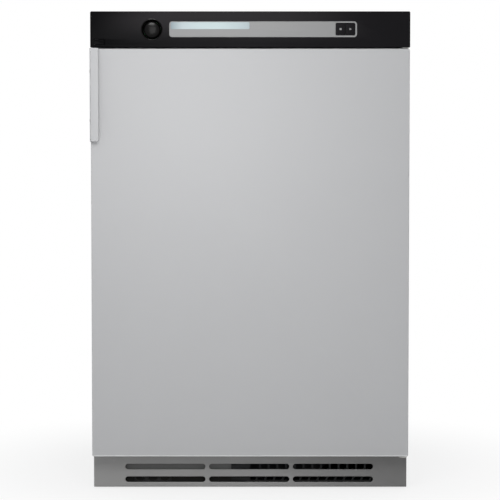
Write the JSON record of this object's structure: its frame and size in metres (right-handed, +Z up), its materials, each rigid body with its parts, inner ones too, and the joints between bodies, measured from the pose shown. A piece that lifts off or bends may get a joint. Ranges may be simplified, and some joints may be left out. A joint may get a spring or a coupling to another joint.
{
  "type": "tumble dryer",
  "caption": "Front-loading vented drying cabinet (tumble dryer) with a full-height hinged door over a belt-driven drum, a control panel with selector, and a slotted plinth.",
  "frame": {"origin": "on the floor under the middle of the machine", "axes": "+X to the right seen from the front, front faces -Y, +Z up"},
  "size_m": [0.5979, 0.632, 0.9],
  "materials": {
    "cabinet_paint": "satin powder coat",
    "galvanised_sheet": "zinc coated",
    "zinc_fasteners": "zinc plated",
    "mouth_plastic": "fine moulded grain",
    "felt": "dense felt",
    "bearing_steel": "ground steel",
    "drum_steel": "brushed stainless steel",
    "dark_moulding": "moulded plastic",
    "motor_casing": "painted steel can",
    "belt_rubber": "ribbed rubber",
    "heater_sheath": "oxidised sheath",
    "panel_black": "satin black moulding",
    "strip_silver": "silver lacquer",
    "display_glass": "clear window over a pale display",
    "knob_black": "gloss black",
    "board_green": "solder mask",
    "grey_moulding": "grey moulded grain",
    "magnet_black": "ferrite",
    "door_paint": "satin grey lacquer",
    "catch_steel": "steel plate",
    "seal_rubber": "soft rubber",
    "lifter_plastic": "moulded plastic",
    "foot_plastic": "hard plastic"
  },
  "bodies": {
    "cabinet": {"side_panel_left": "cabinet_paint", "side_panel_right": "cabinet_paint", "back_panel": "galvanised_sheet", "casing_screws": "zinc_fasteners", "top_lid": "cabinet_paint", "base_tray": "galvanised_sheet", "front_bulkhead": "cabinet_paint", "mouth_ring": "mouth_plastic", "drum_seals": "felt", "rear_bulkhead": "galvanised_sheet", "rear_bearing": "bearing_steel", "cross_rails": "galvanised_sheet", "roller_axles": "zinc_fasteners", "blower_housing": "dark_moulding", "motor_housing": "motor_casing", "drive_belt": "belt_rubber", "front_duct": "dark_moulding", "exhaust_duct": "galvanised_sheet", "heater_duct": "galvanised_sheet", "heater_element": "heater_sheath", "control_panel": "panel_black", "display_strip": "strip_silver", "display_window": "display_glass", "knob_ring": "knob_black", "control_board": "board_green", "main_switch_body": "dark_moulding", "intake_grille": "dark_moulding", "blanking_plate": "grey_moulding", "hinge_brackets": "zinc_fasteners", "catch_magnet": "magnet_black", "mains_inlet": "dark_moulding"},
    "door": {"door_outer_panel": "door_paint", "door_inner_liner": "mouth_plastic", "door_seal": "seal_rubber", "hinge_bushes": "dark_moulding", "catch_plate": "catch_steel", "door_handle": "door_paint", "door_screws": "zinc_fasteners"},
    "drum": {"drum_shell": "drum_steel", "drum_back": "drum_steel", "drum_lifters": "lifter_plastic", "drum_shaft": "bearing_steel"},
    "roller_left": {"support_roller_left": "seal_rubber"},
    "roller_right": {"support_roller_right": "seal_rubber"},
    "motor_rotor": {"motor_shaft": "bearing_steel", "blower_wheel": "dark_moulding"},
    "idler": {"idler_arm": "bearing_steel", "idler_spring": "bearing_steel"},
    "idler_wheel": {"idler_pulley": "dark_moulding"},
    "selector_shaft": {"knob_shaft": "bearing_steel"},
    "selector_cap": {"knob_cap": "knob_black"},
    "start_key": {"start_button": "panel_black"},
    "stop_key": {"stop_button": "panel_black"},
    "main_switch": {"main_switch_button": "panel_black"},
    "filter": {"lint_filter": "mouth_plastic"},
    "plinth": {"plinth_panel": "grey_moulding"},
    "foot_fl": {"foot_front_left": "foot_plastic"},
    "foot_fr": {"foot_front_right": "foot_plastic"},
    "foot_bl": {"foot_back_left": "foot_plastic"},
    "foot_br": {"foot_back_right": "foot_plastic"}
  },
  "joints": [
    {"name": "door_hinge", "type": "hinge", "parent": "cabinet", "child": "door", "pos_m": [0.288, -0.286, 0.449], "axis": [0, 0, 1], "range_deg": [0, 165]},
    {"name": "drum_spin", "type": "hinge", "parent": "cabinet", "child": "drum", "pos_m": [0, 0, 0.5], "axis": [0, 1, 0], "continuous": true},
    {"name": "roller_left_spin", "type": "hinge", "parent": "cabinet", "child": "roller_left", "pos_m": [-0.17913, -0.173, 0.24418], "axis": [0, 1, 0], "continuous": true},
    {"name": "roller_right_spin", "type": "hinge", "parent": "cabinet", "child": "roller_right", "pos_m": [0.17913, -0.173, 0.24418], "axis": [0, 1, 0], "continuous": true},
    {"name": "motor_spin", "type": "hinge", "parent": "cabinet", "child": "motor_rotor", "pos_m": [0.09, -0.03, 0.115], "axis": [0, 1, 0], "continuous": true},
    {"name": "idler_swing", "type": "hinge", "parent": "cabinet", "child": "idler", "pos_m": [0.138, 0.045, 0.107], "axis": [0, 1, 0], "range_deg": [0, 12], "stiffness_Nm_per_rad": 4, "springref_deg": -14.32},
    {"name": "idler_spin", "type": "hinge", "parent": "idler", "child": "idler_wheel", "pos_m": [0.131, 0.06, 0.16], "axis": [0, 1, 0], "continuous": true},
    {"name": "selector_turn", "type": "hinge", "parent": "cabinet", "child": "selector_shaft", "pos_m": [-0.183, -0.285, 0.8663], "axis": [0, 1, 0], "continuous": true},
    {"name": "selector_pop_out", "type": "slide", "parent": "selector_shaft", "child": "selector_cap", "axis": [0, -1, 0], "range_m": [0, 0.008]},
    {"name": "start_press", "type": "slide", "parent": "cabinet", "child": "start_key", "axis": [0, 1, 0], "range_m": [0, 0.001], "stiffness_N_per_m": 900, "springref_m": -0.0008},
    {"name": "stop_press", "type": "slide", "parent": "cabinet", "child": "stop_key", "axis": [0, 1, 0], "range_m": [0, 0.001], "stiffness_N_per_m": 900, "springref_m": -0.0008},
    {"name": "main_switch_press", "type": "slide", "parent": "cabinet", "child": "main_switch", "axis": [0, 1, 0], "range_m": [0, 0.003], "stiffness_N_per_m": 600, "springref_m": -0.001},
    {"name": "filter_lift", "type": "slide", "parent": "cabinet", "child": "filter", "axis": [0, 0, 1], "range_m": [0, 0.13]},
    {"name": "plinth_pull", "type": "slide", "parent": "cabinet", "child": "plinth", "axis": [0, -1, 0], "range_m": [0, 0.06]},
    {"name": "foot_fl_screw", "type": "slide", "parent": "cabinet", "child": "foot_fl", "axis": [0, 0, -1], "range_m": [0, 0.02]},
    {"name": "foot_fr_screw", "type": "slide", "parent": "cabinet", "child": "foot_fr", "axis": [0, 0, -1], "range_m": [0, 0.02]},
    {"name": "foot_bl_screw", "type": "slide", "parent": "cabinet", "child": "foot_bl", "axis": [0, 0, -1], "range_m": [0, 0.02]},
    {"name": "foot_br_screw", "type": "slide", "parent": "cabinet", "child": "foot_br", "axis": [0, 0, -1], "range_m": [0, 0.02]}
  ],
  "couplings": [
    {"joint": "roller_left_spin", "follows": "drum_spin", "ratio": -11.48},
    {"joint": "roller_right_spin", "follows": "drum_spin", "ratio": -11.48},
    {"joint": "motor_spin", "follows": "drum_spin", "ratio": 39.493},
    {"joint": "idler_spin", "follows": "drum_spin", "ratio": -12.373}
  ]
}
